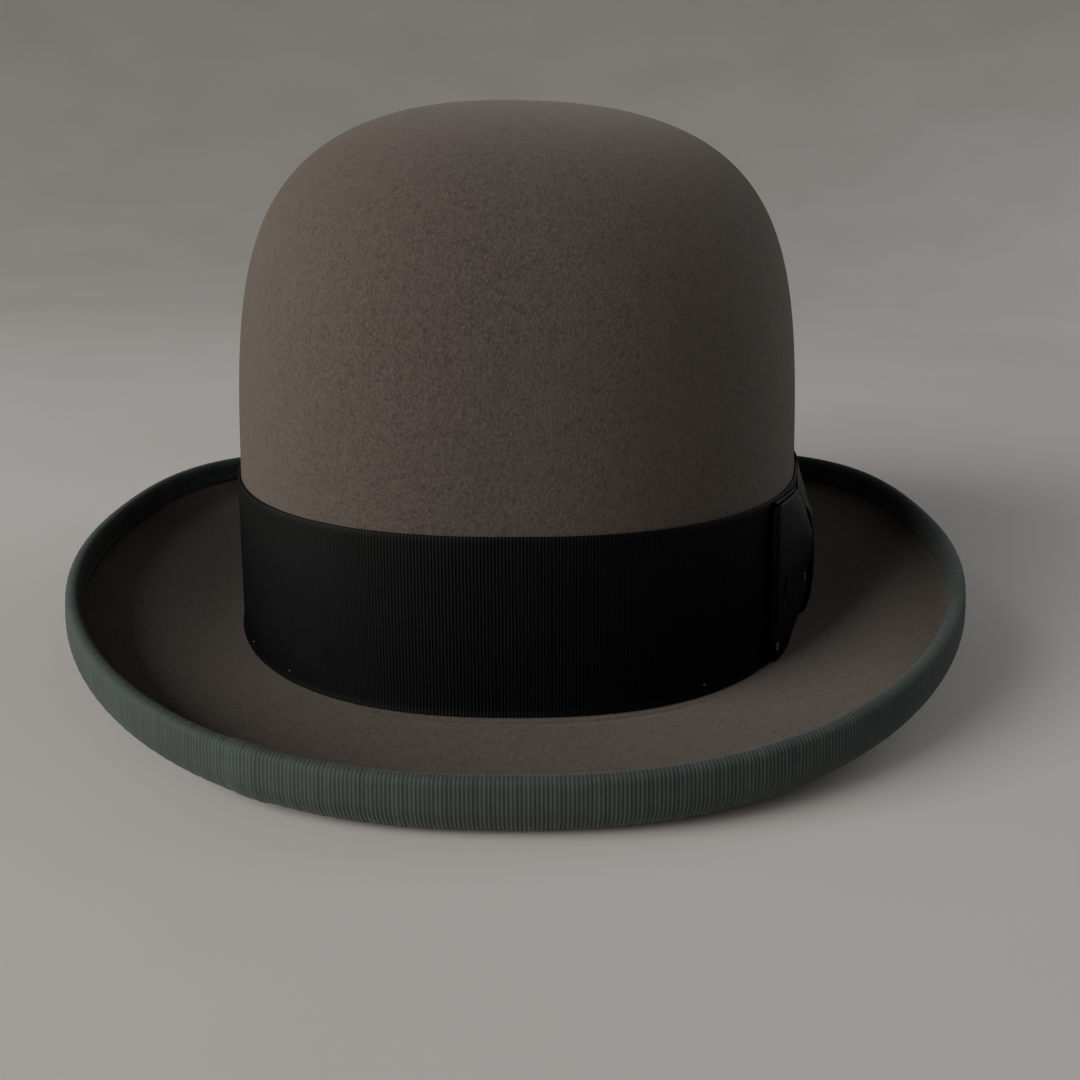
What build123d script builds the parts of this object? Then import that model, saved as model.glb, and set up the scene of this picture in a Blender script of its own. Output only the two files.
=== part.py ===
from build123d import *
import os
from math import cos, pi, radians, sin

# A stiff fur-felt hat with an open, uncreased crown, a wide grosgrain band with a
# bow on the wearer's left, and a brim bound with ribbon and curled up at its edge.
# Millimetres. +Z is up and -Y is the hat's front, so +X is the wearer's left.
# The origin is under the middle of the hat, on the surface that the brim rests on.

# --- driving dimensions -------------------------------------------------------
CROWN_HALF_WIDTH = 86.5  # outside of the crown at the brim break
CROWN_HALF_LENGTH = 104.0
BRIM_HALF_WIDTH = 133.3  # outside of the curled, bound edge
BRIM_HALF_LENGTH = 150.2
PLAN_POWER = 2.35  # 2 is an ellipse, and more is squarer
BREAK_Z = 5.0  # middle of the felt where the crown meets the brim
CROWN_HEIGHT = 150.9  # from the break to the outside of the top
CROWN_TAPER = 0.055  # share of its width that the crown loses from break to top
DOME_START = 0.4885  # where the straight wall lies on the dome's own curve
DOME_SQUARENESS = 12.2  # how late the wall turns into the dome
DOME_ROUNDNESS = 2.24
FELT = 2.2

CURL_RADIUS = 7.5  # outside of the bound curl, where the brim turns up
CURL_LIFT = 17.0  # how much higher the curl runs at the sides than front and back
RIM_TURN = 6.0  # degrees that the upright rim leans in
RIM_RISE = 4.8  # length of the rim's straight part, above the curl
BINDING = 0.8  # thickness of the binding ribbon
BINDING_START = -75.0  # degrees, edge of the outer leg, under the curl
BINDING_INNER = -10.0  # degrees, edge of the inner leg
FIT_GAP = 0.1  # left between layers that lie on each other

BAND_HEIGHT = 45.8
BAND_THICK = 0.7
BAND_Z = BREAK_Z + FELT / 2 + 0.2  # lower edge of the band, just off the brim

BOW_MIDDLE = -24.0  # degrees from +X round the crown, forward is negative
BOW_REACH = 19.5  # degrees from the knot to the end of each loop
BOW_END_HEIGHT = 44.0
BOW_WAIST = 31.0  # height of the loops where the knot pinches them
BOW_WAIST_Z = BAND_Z + 19.5  # middle of the pinched part
BOW_PUFF = 5.0  # how far the loops stand off the band
KNOT_HALF_ANGLE = 3.2
KNOT_THICK = 6.0

LINING_INSET = 2.6  # outside of the lining, in from the crown's outside
LINING = 0.4
LINING_SEAM_Z = 125.0  # seam between the lining's side and its tip
SHIELD_INSET = 3.3
SHIELD = 0.3
SHIELD_HALF_WIDTH = 34.0
SHIELD_HALF_LENGTH = 46.0

LEATHER = 0.9
SWEAT_Z = 3.4  # lower edge of the sweatband
SWEAT_HEIGHT = 48.0
SWEAT_LOW_INSET = 4.15  # outside of the leather at its lower edge
SWEAT_HIGH_INSET = 3.3
SWEAT_SLIT = 0.6  # butt joint of the leather at the rear
REED_DIAMETER = 1.3
TAPE_WIDTH = 12.0
TAPE = 0.3
TAPE_LOW_INSET = 3.5
TAPE_HIGH_INSET = 2.85

STITCH = 0.45  # thread thickness
SWEAT_STITCHES = 120
BINDING_STITCHES = 150
BINDING_STITCH_RISE = 1.0  # along the rim, above the curl
SWEAT_STITCH_Z = 3.0  # above the sweatband's lower edge

OVAL_POINTS = 28
BRIM_SECTIONS = 13  # from +X round the front half to -X
DOME_STEPS = (6, 10, 17, 25, 34, 43, 52, 61, 70, 78, 84, 87.5)  # degrees of turn
WALL_TOP_Z = 54.0  # up to here the crown's wall is straight, and the dome goes on


# --- shared curves ------------------------------------------------------------
def oval_radius(angle, half_width, half_length):
    """Distance from the middle to the plan oval, at an angle in degrees from +X."""
    across = abs(cos(radians(angle))) / half_width
    along = abs(sin(radians(angle))) / half_length
    return (across**PLAN_POWER + along**PLAN_POWER) ** (-1 / PLAN_POWER)


def oval_points(half_width, half_length):
    """Points round the plan oval, evenly turned."""
    points = []
    for step in range(OVAL_POINTS):
        angle = 360 * step / OVAL_POINTS
        radius = oval_radius(angle, half_width, half_length)
        points.append((radius * cos(radians(angle)), radius * sin(radians(angle))))
    return points


def crown_scale(share):
    """Width of the crown at a height share from 0 to 1, as a share of its base."""
    place = DOME_START + (1 - DOME_START) * share
    dome = (1 - place**DOME_SQUARENESS) ** (1 / DOME_ROUNDNESS)
    return dome * (1 - CROWN_TAPER * share)


def dome_share(turn):
    """Height share at which the crown's wall has turned so far, in degrees."""
    place = sin(radians(turn)) ** (2 / DOME_SQUARENESS)
    return max(0.0, (place - DOME_START) / (1 - DOME_START))


def wall_sizes(z, inset):
    """Half width and half length of the straight wall, in from its outside."""
    top_scale = crown_scale((WALL_TOP_Z - BREAK_Z) / CROWN_HEIGHT)
    scale = 1 + (top_scale - 1) * (z - BREAK_Z) / (WALL_TOP_Z - BREAK_Z)
    return CROWN_HALF_WIDTH * scale - inset, CROWN_HALF_LENGTH * scale - inset


def crown_radius(angle, z, inset):
    """Radius of the straight wall at an angle and a height, in from its outside."""
    return oval_radius(angle, *wall_sizes(z, inset))


def radial_plane(angle):
    """Upright plane through the crown's axis: local x is outward, local y is up."""
    c, s = cos(radians(angle)), sin(radians(angle))
    return Plane(origin=(0, 0, 0), x_dir=(c, s, 0), z_dir=(s, -c, 0))


def curl_middle(angle):
    """Centre of the curl's round section, outward and up, at an angle."""
    edge = oval_radius(angle, BRIM_HALF_WIDTH, BRIM_HALF_LENGTH)
    across = abs(edge * cos(radians(angle))) / BRIM_HALF_WIDTH
    return edge - CURL_RADIUS, CURL_RADIUS + CURL_LIFT * across**PLAN_POWER


# --- shared shapes, made in the open part or sketch ---------------------------
def oval_section(z, half_width, half_length):
    with BuildSketch(Plane.XY.offset(z)) as section:
        with BuildLine():
            Spline(*oval_points(half_width, half_length), periodic=True)
        make_face()
    return section.sketch


def dome(inset, first_z, mode=Mode.ADD):
    """Solid that fills the top of the crown, from a height upwards."""
    first_share = (first_z - BREAK_Z) / CROWN_HEIGHT
    first_scale = crown_scale(first_share)
    shares = [first_share]
    shares += [dome_share(t) for t in DOME_STEPS if dome_share(t) > first_share + 0.02]
    sections = []
    for share in shares:
        scale = crown_scale(share) / first_scale
        half_width = (CROWN_HALF_WIDTH * first_scale - inset) * scale
        half_length = (CROWN_HALF_LENGTH * first_scale - inset) * scale
        drop = inset * (share - first_share) / (1 - first_share)
        z = BREAK_Z + CROWN_HEIGHT * share - drop
        sections.append(oval_section(z, half_width, half_length))
    loft(sections, mode=mode)


def wall_ring(low, high, low_inset, high_inset, thickness):
    """Thin ring on the straight wall between two heights, in from its outside."""
    for extra, mode in ((0.0, Mode.ADD), (thickness, Mode.SUBTRACT)):
        ends = ((low, low_inset + extra), (high, high_inset + extra))
        sections = [oval_section(z, *wall_sizes(z, inset)) for z, inset in ends]
        loft(sections, ruled=True, mode=mode)


def half_ring(draw_section):
    """Loft of radial sections round the front half, mirrored to the rear."""
    sections = []
    for step in range(BRIM_SECTIONS):
        angle = -180 * step / (BRIM_SECTIONS - 1)
        with BuildSketch(radial_plane(angle)) as section:
            with BuildLine():
                draw_section(angle)
            make_face()
        sections.append(section.sketch)
    loft(sections)
    mirror(about=Plane.XZ)


def on_curl(middle, radius, turn):
    """Point of the curl's section: 0 is outermost and 90 is the top, in degrees."""
    return (
        middle[0] + radius * cos(radians(turn)),
        middle[1] + radius * sin(radians(turn)),
    )


def on_rim(middle, radius, rise):
    """Point of the straight rim above the curl, so far up along it."""
    foot = on_curl(middle, radius, RIM_TURN)
    lean = radians(RIM_TURN)
    return foot[0] - rise * sin(lean), foot[1] + rise * cos(lean)


def rim_end(middle, first, last):
    """Half-round end that joins two faces of the rim, drawn from the first."""
    half = abs(first - last) / 2
    ThreePointArc(
        on_rim(middle, first, RIM_RISE),
        on_rim(middle, (first + last) / 2, RIM_RISE + half),
        on_rim(middle, last, RIM_RISE),
    )


def curl_arc(middle, radius, first, last):
    ThreePointArc(
        on_curl(middle, radius, first),
        on_curl(middle, radius, (first + last) / 2),
        on_curl(middle, radius, last),
    )


# --- felt body ----------------------------------------------------------------
FELT_OUTER = CURL_RADIUS - BINDING - FIT_GAP
FELT_INNER = FELT_OUTER - FELT
BRIM_ROOT_INSET = 2.6  # the brim runs through the crown's wall to here


def brim_section(angle):
    """Felt of the brim, from the crown's wall to the top of the rim."""
    root = oval_radius(
        angle, CROWN_HALF_WIDTH - BRIM_ROOT_INSET, CROWN_HALF_LENGTH - BRIM_ROOT_INSET
    )
    middle = curl_middle(angle)
    low_root, high_root = (root, BREAK_Z - FELT / 2), (root, BREAK_Z + FELT / 2)
    low_curl = on_curl(middle, FELT_OUTER, -90)
    high_curl = on_curl(middle, FELT_INNER, -90)
    Spline(low_root, low_curl, tangents=[(1, 0), (1, 0)])
    curl_arc(middle, FELT_OUTER, -90, RIM_TURN)
    Line(on_rim(middle, FELT_OUTER, 0), on_rim(middle, FELT_OUTER, RIM_RISE))
    rim_end(middle, FELT_OUTER, FELT_INNER)
    Line(on_rim(middle, FELT_INNER, RIM_RISE), on_rim(middle, FELT_INNER, 0))
    curl_arc(middle, FELT_INNER, RIM_TURN, -90)
    Spline(high_curl, high_root, tangents=[(-1, 0), (-1, 0)])
    Line(high_root, low_root)


with BuildPart() as brim_felt:
    half_ring(brim_section)

with BuildPart() as crown_dome:
    dome(0.0, WALL_TOP_Z)
    dome(FELT, WALL_TOP_Z, mode=Mode.SUBTRACT)

with BuildPart() as felt_body:
    wall_ring(BREAK_Z, WALL_TOP_Z, 0.0, 0.0, FELT)
    add(crown_dome.part)
    add(brim_felt.part)


# --- brim binding -------------------------------------------------------------
def binding_section(angle):
    """Ribbon folded over the felt's edge, with an outer and an inner leg."""
    middle = curl_middle(angle)
    outer, lap = CURL_RADIUS, FELT_OUTER + FIT_GAP
    liner, inner = FELT_INNER - FIT_GAP, FELT_INNER - FIT_GAP - BINDING
    curl_arc(middle, outer, BINDING_START, RIM_TURN)
    Line(on_rim(middle, outer, 0), on_rim(middle, outer, RIM_RISE))
    rim_end(middle, outer, inner)
    Line(on_rim(middle, inner, RIM_RISE), on_rim(middle, inner, 0))
    curl_arc(middle, inner, RIM_TURN, BINDING_INNER)
    Line(on_curl(middle, inner, BINDING_INNER), on_curl(middle, liner, BINDING_INNER))
    curl_arc(middle, liner, BINDING_INNER, RIM_TURN)
    Line(on_rim(middle, liner, 0), on_rim(middle, liner, RIM_RISE))
    rim_end(middle, liner, lap)
    Line(on_rim(middle, lap, RIM_RISE), on_rim(middle, lap, 0))
    curl_arc(middle, lap, RIM_TURN, BINDING_START)
    Line(on_curl(middle, lap, BINDING_START), on_curl(middle, outer, BINDING_START))


with BuildPart() as brim_binding:
    half_ring(binding_section)


# --- band ribbon --------------------------------------------------------------
with BuildPart() as band_ribbon:
    band_outer = -FIT_GAP - BAND_THICK
    wall_ring(BAND_Z, BAND_Z + BAND_HEIGHT, band_outer, band_outer, BAND_THICK)


# --- bow ----------------------------------------------------------------------
BOW_Z = BAND_Z + BAND_HEIGHT / 2
BOW_BACK = -(FIT_GAP + BAND_THICK + FIT_GAP)  # inset of the bow's back, on the band
EDGE_SHARE = 0.45  # thickness at a loop's upper and lower edge, as a share of its puff


def puffed_section(angle, middle, height, puff):
    """Upright section of the bow on the band: flat at the back, round in front."""
    low, high = middle - height / 2, middle + height / 2
    back_low = (crown_radius(angle, low, BOW_BACK), low)
    back_high = (crown_radius(angle, high, BOW_BACK), high)
    rim_low = (back_low[0] + puff * EDGE_SHARE, low)
    rim_high = (back_high[0] + puff * EDGE_SHARE, high)
    front = (crown_radius(angle, middle, BOW_BACK) + puff, middle)
    Line(back_high, back_low)
    Line(back_low, rim_low)
    Spline(rim_low, front, rim_high)
    Line(rim_high, back_high)


def bow_loop(side):
    """One loop of the bow: side -1 is the front one and +1 the rear one."""
    steps = 5
    first = KNOT_HALF_ANGLE + 0.25
    sections = []
    for step in range(steps):
        share = step / (steps - 1)
        angle = BOW_MIDDLE + side * (first + (BOW_REACH - first) * share)
        opened = share**0.7
        height = BOW_WAIST + (BOW_END_HEIGHT - BOW_WAIST) * opened
        middle = BOW_WAIST_Z + (BOW_Z - BOW_WAIST_Z) * opened
        puff = BOW_PUFF * (1 - 0.62 * share**2)
        with BuildSketch(radial_plane(angle)) as section:
            with BuildLine():
                puffed_section(angle, middle, height, puff)
            make_face()
        sections.append(section.sketch)
    loft(sections)


with BuildPart() as bow_front_loop:
    bow_loop(-1)

with BuildPart() as bow_rear_loop:
    bow_loop(1)

with BuildPart() as bow_knot:
    for turn in (-KNOT_HALF_ANGLE, 0, KNOT_HALF_ANGLE):
        with BuildSketch(radial_plane(BOW_MIDDLE + turn)):
            with BuildLine():
                puffed_section(BOW_MIDDLE + turn, BOW_WAIST_Z, BOW_WAIST + 1.5, KNOT_THICK)
            make_face()
    loft()


# --- thread tacks -------------------------------------------------------------
TACK_LENGTH = 1.2
TACK_ANGLES = (-140, -128, -54, -160, 150, 110, 70, 30)  # round the band


def surface_plane(angle, z, radius):
    """Plane lying on the wall: local x runs round the crown and local y is up."""
    c, s = cos(radians(angle)), sin(radians(angle))
    return Plane(origin=(radius * c, radius * s, z), x_dir=(-s, c, 0), z_dir=(c, s, 0))


with BuildPart() as band_tacks:
    tack_z = BAND_Z + 3.0
    for angle in TACK_ANGLES:
        proud = crown_radius(angle, tack_z, band_outer - STITCH / 2 - FIT_GAP)
        with Locations(surface_plane(angle, tack_z, proud)):
            Box(TACK_LENGTH, STITCH, STITCH)

with BuildPart() as bow_tacks:
    for side in (-1, 1):
        angle = BOW_MIDDLE + side * (BOW_REACH + 0.6)
        proud = crown_radius(angle, BOW_Z - 14, band_outer - STITCH / 2 - FIT_GAP)
        with Locations(surface_plane(angle, BOW_Z - 14, proud)):
            Box(TACK_LENGTH / 2, TACK_LENGTH, STITCH)


# --- sweatband ----------------------------------------------------------------
SWEAT_TOP = SWEAT_Z + SWEAT_HEIGHT

with BuildPart() as sweatband:
    wall_ring(SWEAT_Z, SWEAT_TOP, SWEAT_LOW_INSET, SWEAT_HIGH_INSET, LEATHER)
    with Locations((0, CROWN_HALF_LENGTH, SWEAT_Z + SWEAT_HEIGHT / 2)):
        Box(SWEAT_SLIT, 30, SWEAT_HEIGHT + 2, mode=Mode.SUBTRACT)

with BuildPart() as sweatband_reed:
    reed_inset = BRIM_ROOT_INSET + FIT_GAP + REED_DIAMETER / 2
    reed_z = SWEAT_Z + REED_DIAMETER / 2
    reed_sizes = (CROWN_HALF_WIDTH - reed_inset, CROWN_HALF_LENGTH - reed_inset)
    with BuildLine(Plane.XY.offset(reed_z)) as reed_path:
        Spline(*oval_points(*reed_sizes), periodic=True)
    start = (oval_radius(0, *reed_sizes), 0, reed_z)
    with BuildSketch(Plane(origin=start, x_dir=(1, 0, 0), z_dir=(0, 1, 0))):
        Circle(REED_DIAMETER / 2)
    sweep(path=reed_path.wires()[0])

with BuildPart() as sweatband_seam_tape:
    wall_ring(SWEAT_Z + 6, SWEAT_TOP - 2, TAPE_LOW_INSET, TAPE_HIGH_INSET, TAPE)
    with Locations((0, CROWN_HALF_LENGTH, SWEAT_Z + SWEAT_HEIGHT / 2)):
        Box(TAPE_WIDTH, 30, SWEAT_HEIGHT, mode=Mode.INTERSECT)


def stitch_row(count, z_of, radius_of, length):
    """Short threads laid end to end round the hat, with gaps between them."""
    for step in range(count):
        angle = 360 * (step + 0.5) / count
        with Locations(surface_plane(angle, z_of(angle), radius_of(angle))):
            Box(length, STITCH, STITCH)


with BuildPart() as sweatband_stitches:
    stitch_z = SWEAT_Z + SWEAT_STITCH_Z
    proud_inset = SWEAT_LOW_INSET + LEATHER + STITCH / 2 + FIT_GAP
    stitch_row(
        SWEAT_STITCHES,
        lambda angle: stitch_z,
        lambda angle: crown_radius(angle, stitch_z, proud_inset),
        2.6,
    )

with BuildPart() as binding_stitches:
    proud = FELT_INNER - BINDING - 2 * FIT_GAP - STITCH
    stitch_row(
        BINDING_STITCHES,
        lambda angle: on_rim(curl_middle(angle), proud, BINDING_STITCH_RISE)[1],
        lambda angle: on_rim(curl_middle(angle), proud, BINDING_STITCH_RISE)[0],
        2.2,
    )


# --- small bow at the rear of the sweatband -----------------------------------
SMALL_BOW_Y = CROWN_HALF_LENGTH - SWEAT_LOW_INSET - LEATHER - 0.9
SMALL_BOW_Z = SWEAT_Z + 7.0

with BuildPart() as sweatband_bow:
    with BuildSketch(Plane.XZ.offset(-SMALL_BOW_Y)):
        for side in (-1, 1):
            with BuildLine():
                Polyline((0, SMALL_BOW_Z - 1.4), (0, SMALL_BOW_Z + 1.4),
                         (side * 13, SMALL_BOW_Z + 3.2), (side * 13, SMALL_BOW_Z - 3.2),
                         close=True)
            make_face()
        with Locations((0, SMALL_BOW_Z)):
            Rectangle(4.0, 5.0)
    extrude(amount=1.4)


# --- lining -------------------------------------------------------------------
with BuildPart() as lining_side:
    dome(LINING_INSET, WALL_TOP_Z + 0.5)
    dome(LINING_INSET + LINING, WALL_TOP_Z + 0.5, mode=Mode.SUBTRACT)
    split(bisect_by=Plane.XY.offset(LINING_SEAM_Z - 0.2), keep=Keep.BOTTOM)

with BuildPart() as lining_tip:
    dome(LINING_INSET, WALL_TOP_Z + 0.5)
    dome(LINING_INSET + LINING, WALL_TOP_Z + 0.5, mode=Mode.SUBTRACT)
    split(bisect_by=Plane.XY.offset(LINING_SEAM_Z + 0.2), keep=Keep.TOP)

with BuildPart() as tip_shield:
    dome(SHIELD_INSET, WALL_TOP_Z)
    dome(SHIELD_INSET + SHIELD, WALL_TOP_Z, mode=Mode.SUBTRACT)
    with BuildSketch(Plane.XY.offset(LINING_SEAM_Z)):
        Ellipse(SHIELD_HALF_WIDTH, SHIELD_HALF_LENGTH)
    extrude(amount=CROWN_HEIGHT, mode=Mode.INTERSECT)


# --- labels and files ---------------------------------------------------------
PIECES = {
    "felt_body": felt_body,
    "brim_binding": brim_binding,
    "binding_stitches": binding_stitches,
    "band_ribbon": band_ribbon,
    "band_tacks": band_tacks,
    "bow_front_loop": bow_front_loop,
    "bow_rear_loop": bow_rear_loop,
    "bow_knot": bow_knot,
    "bow_tacks": bow_tacks,
    "sweatband": sweatband,
    "sweatband_reed": sweatband_reed,
    "sweatband_seam_tape": sweatband_seam_tape,
    "sweatband_stitches": sweatband_stitches,
    "sweatband_bow": sweatband_bow,
    "lining_side": lining_side,
    "lining_tip": lining_tip,
    "tip_shield": tip_shield,
}

os.makedirs("parts", exist_ok=True)
for name, piece in PIECES.items():
    piece.part.label = name
    export_step(piece.part, f"parts/{name}.step")
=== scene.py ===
import math

import bmesh
import bpy
import numpy as np
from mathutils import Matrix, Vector


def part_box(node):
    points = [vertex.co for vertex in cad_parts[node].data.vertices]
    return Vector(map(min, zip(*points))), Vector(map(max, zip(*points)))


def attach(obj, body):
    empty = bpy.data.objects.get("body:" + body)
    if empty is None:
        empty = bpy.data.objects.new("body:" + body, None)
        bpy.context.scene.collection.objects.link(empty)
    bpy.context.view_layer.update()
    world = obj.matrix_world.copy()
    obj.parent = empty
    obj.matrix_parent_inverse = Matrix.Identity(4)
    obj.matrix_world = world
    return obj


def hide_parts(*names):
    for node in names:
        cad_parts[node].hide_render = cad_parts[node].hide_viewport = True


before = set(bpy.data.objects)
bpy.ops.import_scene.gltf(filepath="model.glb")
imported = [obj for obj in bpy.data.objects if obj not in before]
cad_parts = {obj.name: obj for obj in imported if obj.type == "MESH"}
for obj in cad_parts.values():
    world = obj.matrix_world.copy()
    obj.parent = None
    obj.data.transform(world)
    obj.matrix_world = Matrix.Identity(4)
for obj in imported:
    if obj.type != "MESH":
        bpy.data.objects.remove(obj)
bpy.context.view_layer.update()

# A stiff fur-felt hat: crown and brim of one felt, a black grosgrain band with a bow
# on the wearer's left, a brim bound with ribbon and curled up, and inside it a
# sweatband and a satin lining. Shapes are worked out in millimetres, +Z up, with the
# hat's front towards -Y, and are written to the meshes in metres.
MM = 0.001


def node_box(node):
    """Lower and upper corner of a CAD node's box, in millimetres."""
    low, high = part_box(node)
    return np.array(low) / MM, np.array(high) / MM


# --- driving sizes, from the frame where it holds them -----------------------
_, brim_high = node_box("brim_binding")
band_low, band_high = node_box("band_ribbon")
_, felt_high = node_box("felt_body")
sweat_low, sweat_high = node_box("sweatband")
tip_low, _ = node_box("lining_tip")

PLAN_POWER = 2.35  # 2 is an ellipse, and more is squarer
FELT = 2.2  # thickness
BAND_STANDS_OFF = 0.75  # from the felt to the outside of the band's solid
CROWN_W = band_high[0] - BAND_STANDS_OFF
CROWN_L = band_high[1] - BAND_STANDS_OFF
BRIM_W = brim_high[0]
BRIM_L = brim_high[1]
BAND_OFF_BRIM = 0.2  # gap from the brim's felt to the band's lower edge
BREAK_Z = band_low[2] - FELT / 2 - BAND_OFF_BRIM
CROWN_HEIGHT = felt_high[2] + 0.05 - BREAK_Z
CROWN_TAPER = 0.055  # share of its width that the crown loses on the way up
CROWN_LEAN = 0.9  # towards +X, at the top
DOME_START = 0.4885  # where on the dome's curve the crown starts, from 0 to 1
DOME_SQUARENESS = 12.2  # power of the height in that curve
DOME_ROUNDNESS = 2.24  # power of the width in it
BREAK_FILLET = 1.7  # where the crown's wall turns out into the brim

CURL_RADIUS = 7.5  # outside of the bound curl, where the brim turns up
RIM_TURN = 6.0  # degrees that the upright rim leans in
RIM_RISE = 4.8  # length of the rim's straight part, above the curl
RIM_HEIGHT = 14.84  # of the bound rim at the hat's front
CURL_LIFT = brim_high[2] - RIM_HEIGHT
BINDING = 0.7  # ribbon's thickness
FELT_OUTER = CURL_RADIUS - BINDING - 0.2
FELT_INNER = FELT_OUTER - FELT

BAND_THICK = 0.5
BAND_Z = band_low[2] + 0.3  # lower edge
BAND_HEIGHT = band_high[2] - band_low[2]
BAND_RIB = 0.86  # pitch of the grosgrain's ribs
BAND_RIB_HEIGHT = 0.27
BINDING_RIB = 0.92
BINDING_RIB_HEIGHT = 0.24


# --- curves that the pieces share --------------------------------------------
def oval_radius(phi, half_width, half_length):
    """Distance from the middle to the plan oval, a slightly squared ellipse."""
    across = np.abs(np.cos(phi)) / half_width
    along = np.abs(np.sin(phi)) / half_length
    return (across**PLAN_POWER + along**PLAN_POWER) ** (-1 / PLAN_POWER)


def oval_normal(phi, half_width, half_length):
    """Outward unit normal of the plan oval, as x and y."""
    radius = oval_radius(phi, half_width, half_length)
    x, y = radius * np.cos(phi), radius * np.sin(phi)
    power = PLAN_POWER - 1
    nx = np.sign(x) * np.abs(x / half_width) ** power / half_width
    ny = np.sign(y) * np.abs(y / half_length) ** power / half_length
    size = np.hypot(nx, ny)
    return nx / size, ny / size


def crown_scale(z):
    """How wide the crown is at a height, as a share of its width at the break."""
    share = np.clip((z - BREAK_Z) / CROWN_HEIGHT, 0, 1)
    place = DOME_START + (1 - DOME_START) * share
    return (1 - place**DOME_SQUARENESS) ** (1 / DOME_ROUNDNESS) * (1 - CROWN_TAPER * share)


def dome_height(turn):
    """Height for a turn along the dome's curve: 90 degrees is its tip."""
    place = np.sin(np.radians(turn)) ** (2 / DOME_SQUARENESS)
    return BREAK_Z + CROWN_HEIGHT * (place - DOME_START) / (1 - DOME_START)


def even_angles(half_width, half_length, count, first=0.0, last=360.0):
    """Angles that cut an arc of the oval into equal lengths, and those lengths."""
    fine = np.radians(np.linspace(first, last, 6001))
    radius = oval_radius(fine, half_width, half_length)
    x, y = radius * np.cos(fine), radius * np.sin(fine)
    run = np.concatenate([[0], np.cumsum(np.hypot(np.diff(x), np.diff(y)))])
    want = np.linspace(0, run[-1], count + 1)
    return np.interp(want, run, fine), want


def on_wall(phi, z, out):
    """Points on the crown's wall, moved out from it along its plan normal."""
    scale = crown_scale(z)
    radius = oval_radius(phi, CROWN_W, CROWN_L) * scale
    nx, ny = oval_normal(phi, CROWN_W, CROWN_L)
    x = radius * np.cos(phi) + out * nx
    y = radius * np.sin(phi) + out * ny
    return np.stack(np.broadcast_arrays(x, y, z), -1)


def flare(z):
    """How far the felt stands out from the wall's line, low down at the break."""
    height = BREAK_Z + FELT / 2 + BREAK_FILLET - z
    height = np.clip(height, 0, BREAK_FILLET)
    return BREAK_FILLET - np.sqrt(BREAK_FILLET**2 - height**2 + 1e-9)


def curl_centre(phi):
    """Centre of the curl's round section: distance outward, and height."""
    edge = oval_radius(phi, BRIM_W, BRIM_L)
    across = np.abs(edge * np.cos(phi)) / BRIM_W
    return edge - CURL_RADIUS, CURL_RADIUS + CURL_LIFT * across**PLAN_POWER


def on_curl(phi, radius, turn):
    """Points on the curl's section: 0 degrees is outermost and 90 is its top."""
    out, up = curl_centre(phi)
    out = out + radius * np.cos(np.radians(turn))
    up = up + radius * np.sin(np.radians(turn))
    return np.stack([out * np.cos(phi), out * np.sin(phi), up], -1)


def on_rim(phi, radius, rise):
    """Points on the straight rim above the curl, so far up along it."""
    out, up = curl_centre(phi)
    lean = math.radians(RIM_TURN)
    out = out + radius * math.cos(lean) - rise * math.sin(lean)
    up = up + radius * math.sin(lean) + rise * math.cos(lean)
    return np.stack([out * np.cos(phi), out * np.sin(phi), up], -1)


def settle(points):
    """The slight unevenness of a blocked felt, the same for all that lies on it."""
    x, y, z = points[..., 0], points[..., 1], points[..., 2]
    high = np.clip((z - 40) / 110, 0, 1) ** 2
    phi = np.arctan2(y, x)
    swell = 0.35 * np.sin(2 * phi + 0.7) + 0.25 * np.sin(3 * phi + 2.1)
    rise = np.clip((z - 60) / 60, 0, 1)
    radius = np.hypot(x, y) + 1e-6
    moved = points.copy()
    moved[..., 0] = x + CROWN_LEAN * high + swell * rise * x / radius
    moved[..., 1] = y + swell * rise * y / radius
    moved[..., 2] = z - 0.55 * high * np.sin(x / 34.0 + 0.6)
    return moved


# --- mesh helpers ------------------------------------------------------------
def grid_faces(rows, cols, wrap_rows, wrap_cols):
    """Four-sided faces between neighbouring points of a grid."""
    row = np.arange(rows if wrap_rows else rows - 1)
    col = np.arange(cols if wrap_cols else cols - 1)
    a, b = np.meshgrid(row, col, indexing="ij")
    a2, b2 = (a + 1) % rows, (b + 1) % cols
    quads = np.stack([a * cols + b, a * cols + b2, a2 * cols + b2, a2 * cols + b], -1)
    return quads.reshape(-1, 4)


def make_piece(name, points, faces, material, uv=None):
    """A mesh object from points in millimetres and a list of faces."""
    mesh = bpy.data.meshes.new(name)
    mesh.from_pydata((points.reshape(-1, 3) * MM).tolist(), [], [list(f) for f in faces])
    mesh.validate()
    solid = bmesh.new()
    solid.from_mesh(mesh)
    bmesh.ops.recalc_face_normals(solid, faces=solid.faces)
    solid.to_mesh(mesh)
    solid.free()
    if uv is not None:
        layer = mesh.uv_layers.new(name="cloth")
        loops = np.zeros(len(mesh.loops), dtype=np.int32)
        mesh.loops.foreach_get("vertex_index", loops)
        layer.data.foreach_set("uv", uv.reshape(-1, 2)[loops].astype(np.float32).ravel())
    mesh.polygons.foreach_set("use_smooth", [True] * len(mesh.polygons))
    mesh.update()
    piece = bpy.data.objects.new(name, mesh)
    bpy.context.scene.collection.objects.link(piece)
    piece.data.materials.append(material)
    return piece


def put(piece, node):
    """The piece rides on the hat's one body and stands for its CAD node."""
    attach(piece, "root")
    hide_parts(node)
    return piece


def surface_normals(grid, wrap_cols=True):
    """Unit normals of a grid of points, by differences along rows and columns."""
    down = np.gradient(grid, axis=0)
    if wrap_cols:
        side = (np.roll(grid, -1, axis=1) - np.roll(grid, 1, axis=1)) / 2
    else:
        side = np.gradient(grid, axis=1)
    normal = np.cross(side, down)
    return normal / (np.linalg.norm(normal, axis=-1, keepdims=True) + 1e-12)


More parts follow.
